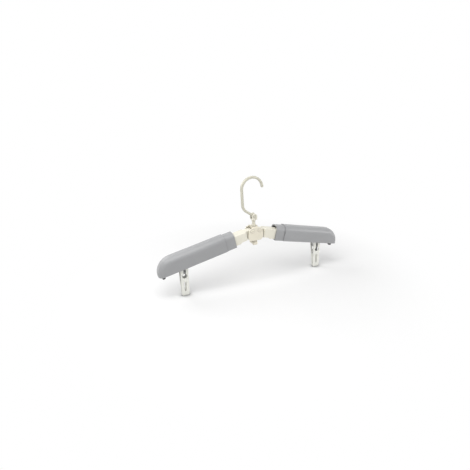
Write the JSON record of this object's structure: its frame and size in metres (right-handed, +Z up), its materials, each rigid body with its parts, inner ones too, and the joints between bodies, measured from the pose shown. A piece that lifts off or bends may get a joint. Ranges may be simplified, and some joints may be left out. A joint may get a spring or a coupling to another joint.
{
  "type": "folding travel hanger",
  "caption": "Folding travel hanger with a swivelling, folding hook, geared arms in sliding sleeves and a spring peg swinging under each sleeve.",
  "frame": {"origin": "the point inside the top of the hook where a rail touches it", "axes": "+X along the opened arms towards the right arm, +Y away from the viewer of the front hub half, +Z up"},
  "size_m": [0.346, 0.0244, 0.1891],
  "materials": {
    "sleeve_shell": "fine matte grey moulding",
    "ivory_moulding": "satin ivory moulding",
    "ivory_hook": "half-gloss ivory moulding",
    "white_peg": "satin off-white moulding",
    "dark_catch": "matte dark grey moulding",
    "steel": "plain drawn steel"
  },
  "bodies": {
    "hub": {"hub_front": "ivory_moulding", "hub_back": "ivory_moulding", "hub_rivet_left": "ivory_moulding", "hub_rivet_right": "ivory_moulding", "fold_pin_left": "steel", "fold_pin_right": "steel"},
    "lock": {"lock_tab": "ivory_moulding"},
    "swivel": {"stem": "ivory_moulding", "hook_pin": "ivory_hook"},
    "hook_body": {"hook": "ivory_hook"},
    "arm_right": {"bar_right": "ivory_moulding"},
    "arm_left": {"bar_left": "ivory_moulding"},
    "slider_right": {"sleeve_right": "sleeve_shell", "catch_right": "dark_catch", "peg_pin_right": "steel"},
    "slider_left": {"sleeve_left": "sleeve_shell", "catch_left": "dark_catch", "peg_pin_left": "steel"},
    "peg_right": {"peg_hanger_right": "sleeve_shell", "jaw_axle_right": "steel", "jaw_spring_right": "steel"},
    "peg_left": {"peg_hanger_left": "sleeve_shell", "jaw_axle_left": "steel", "jaw_spring_left": "steel"},
    "jaw_front_right": {"front_jaw_right": "white_peg"},
    "jaw_rear_right": {"rear_jaw_right": "white_peg"},
    "jaw_front_left": {"front_jaw_left": "white_peg"},
    "jaw_rear_left": {"rear_jaw_left": "white_peg"}
  },
  "joints": [
    {"name": "lock_slide", "type": "slide", "parent": "hub", "child": "lock", "axis": [0, 0, 1], "range_m": [0, 0.003]},
    {"name": "stem_swivel", "type": "hinge", "parent": "hub", "child": "swivel", "pos_m": [0, 0, -0.1002], "axis": [0, 0, 1], "continuous": true},
    {"name": "hook_fold", "type": "hinge", "parent": "swivel", "child": "hook_body", "pos_m": [0, 0, -0.0652], "axis": [0, 1, 0], "range_deg": [0, 95]},
    {"name": "arm_fold_right", "type": "hinge", "parent": "hub", "child": "arm_right", "pos_m": [0.007, 0, -0.1002], "axis": [0, 1, 0], "range_deg": [0, 77.4]},
    {"name": "arm_fold_left", "type": "hinge", "parent": "hub", "child": "arm_left", "pos_m": [-0.007, 0, -0.1002], "axis": [0, 1, 0], "range_deg": [-77.4, 0]},
    {"name": "sleeve_slide_right", "type": "slide", "parent": "arm_right", "child": "slider_right", "axis": [-0.9759, 0, 0.2181], "range_m": [0, 0.012]},
    {"name": "sleeve_slide_left", "type": "slide", "parent": "arm_left", "child": "slider_left", "axis": [0.9759, 0, 0.2181], "range_m": [0, 0.012]},
    {"name": "peg_swing_right", "type": "hinge", "parent": "slider_right", "child": "peg_right", "pos_m": [0.12984, 0, -0.12366], "axis": [0, 1, 0], "range_deg": [0, 102.6]},
    {"name": "peg_swing_left", "type": "hinge", "parent": "slider_left", "child": "peg_left", "pos_m": [-0.12984, 0, -0.12366], "axis": [0, 1, 0], "range_deg": [-102.6, 0]},
    {"name": "peg_open_right", "type": "hinge", "parent": "peg_right", "child": "jaw_front_right", "pos_m": [0.12984, -0.0023, -0.15646], "axis": [-1, 0, 0], "range_deg": [0, 3], "stiffness_Nm_per_rad": 0.3, "springref_deg": -8.59, "deforming": ["jaw_spring_right"]},
    {"name": "peg_open_rear_right", "type": "hinge", "parent": "peg_right", "child": "jaw_rear_right", "pos_m": [0.12984, -0.0023, -0.15646], "axis": [1, 0, 0], "range_deg": [0, 9], "stiffness_Nm_per_rad": 0.3, "springref_deg": -8.59},
    {"name": "peg_open_left", "type": "hinge", "parent": "peg_left", "child": "jaw_front_left", "pos_m": [-0.12984, -0.0023, -0.15646], "axis": [-1, 0, 0], "range_deg": [0, 3], "stiffness_Nm_per_rad": 0.3, "springref_deg": -8.59, "deforming": ["jaw_spring_left"]},
    {"name": "peg_open_rear_left", "type": "hinge", "parent": "peg_left", "child": "jaw_rear_left", "pos_m": [-0.12984, -0.0023, -0.15646], "axis": [1, 0, 0], "range_deg": [0, 9], "stiffness_Nm_per_rad": 0.3, "springref_deg": -8.59}
  ],
  "couplings": [
    {"joint": "arm_fold_left", "follows": "arm_fold_right", "ratio": -1},
    {"joint": "peg_swing_right", "follows": "arm_fold_right", "ratio": 1.3256},
    {"joint": "peg_swing_left", "follows": "arm_fold_right", "ratio": -1.3256},
    {"joint": "peg_open_rear_right", "follows": "peg_open_right", "ratio": 3},
    {"joint": "peg_open_rear_left", "follows": "peg_open_left", "ratio": 3}
  ]
}
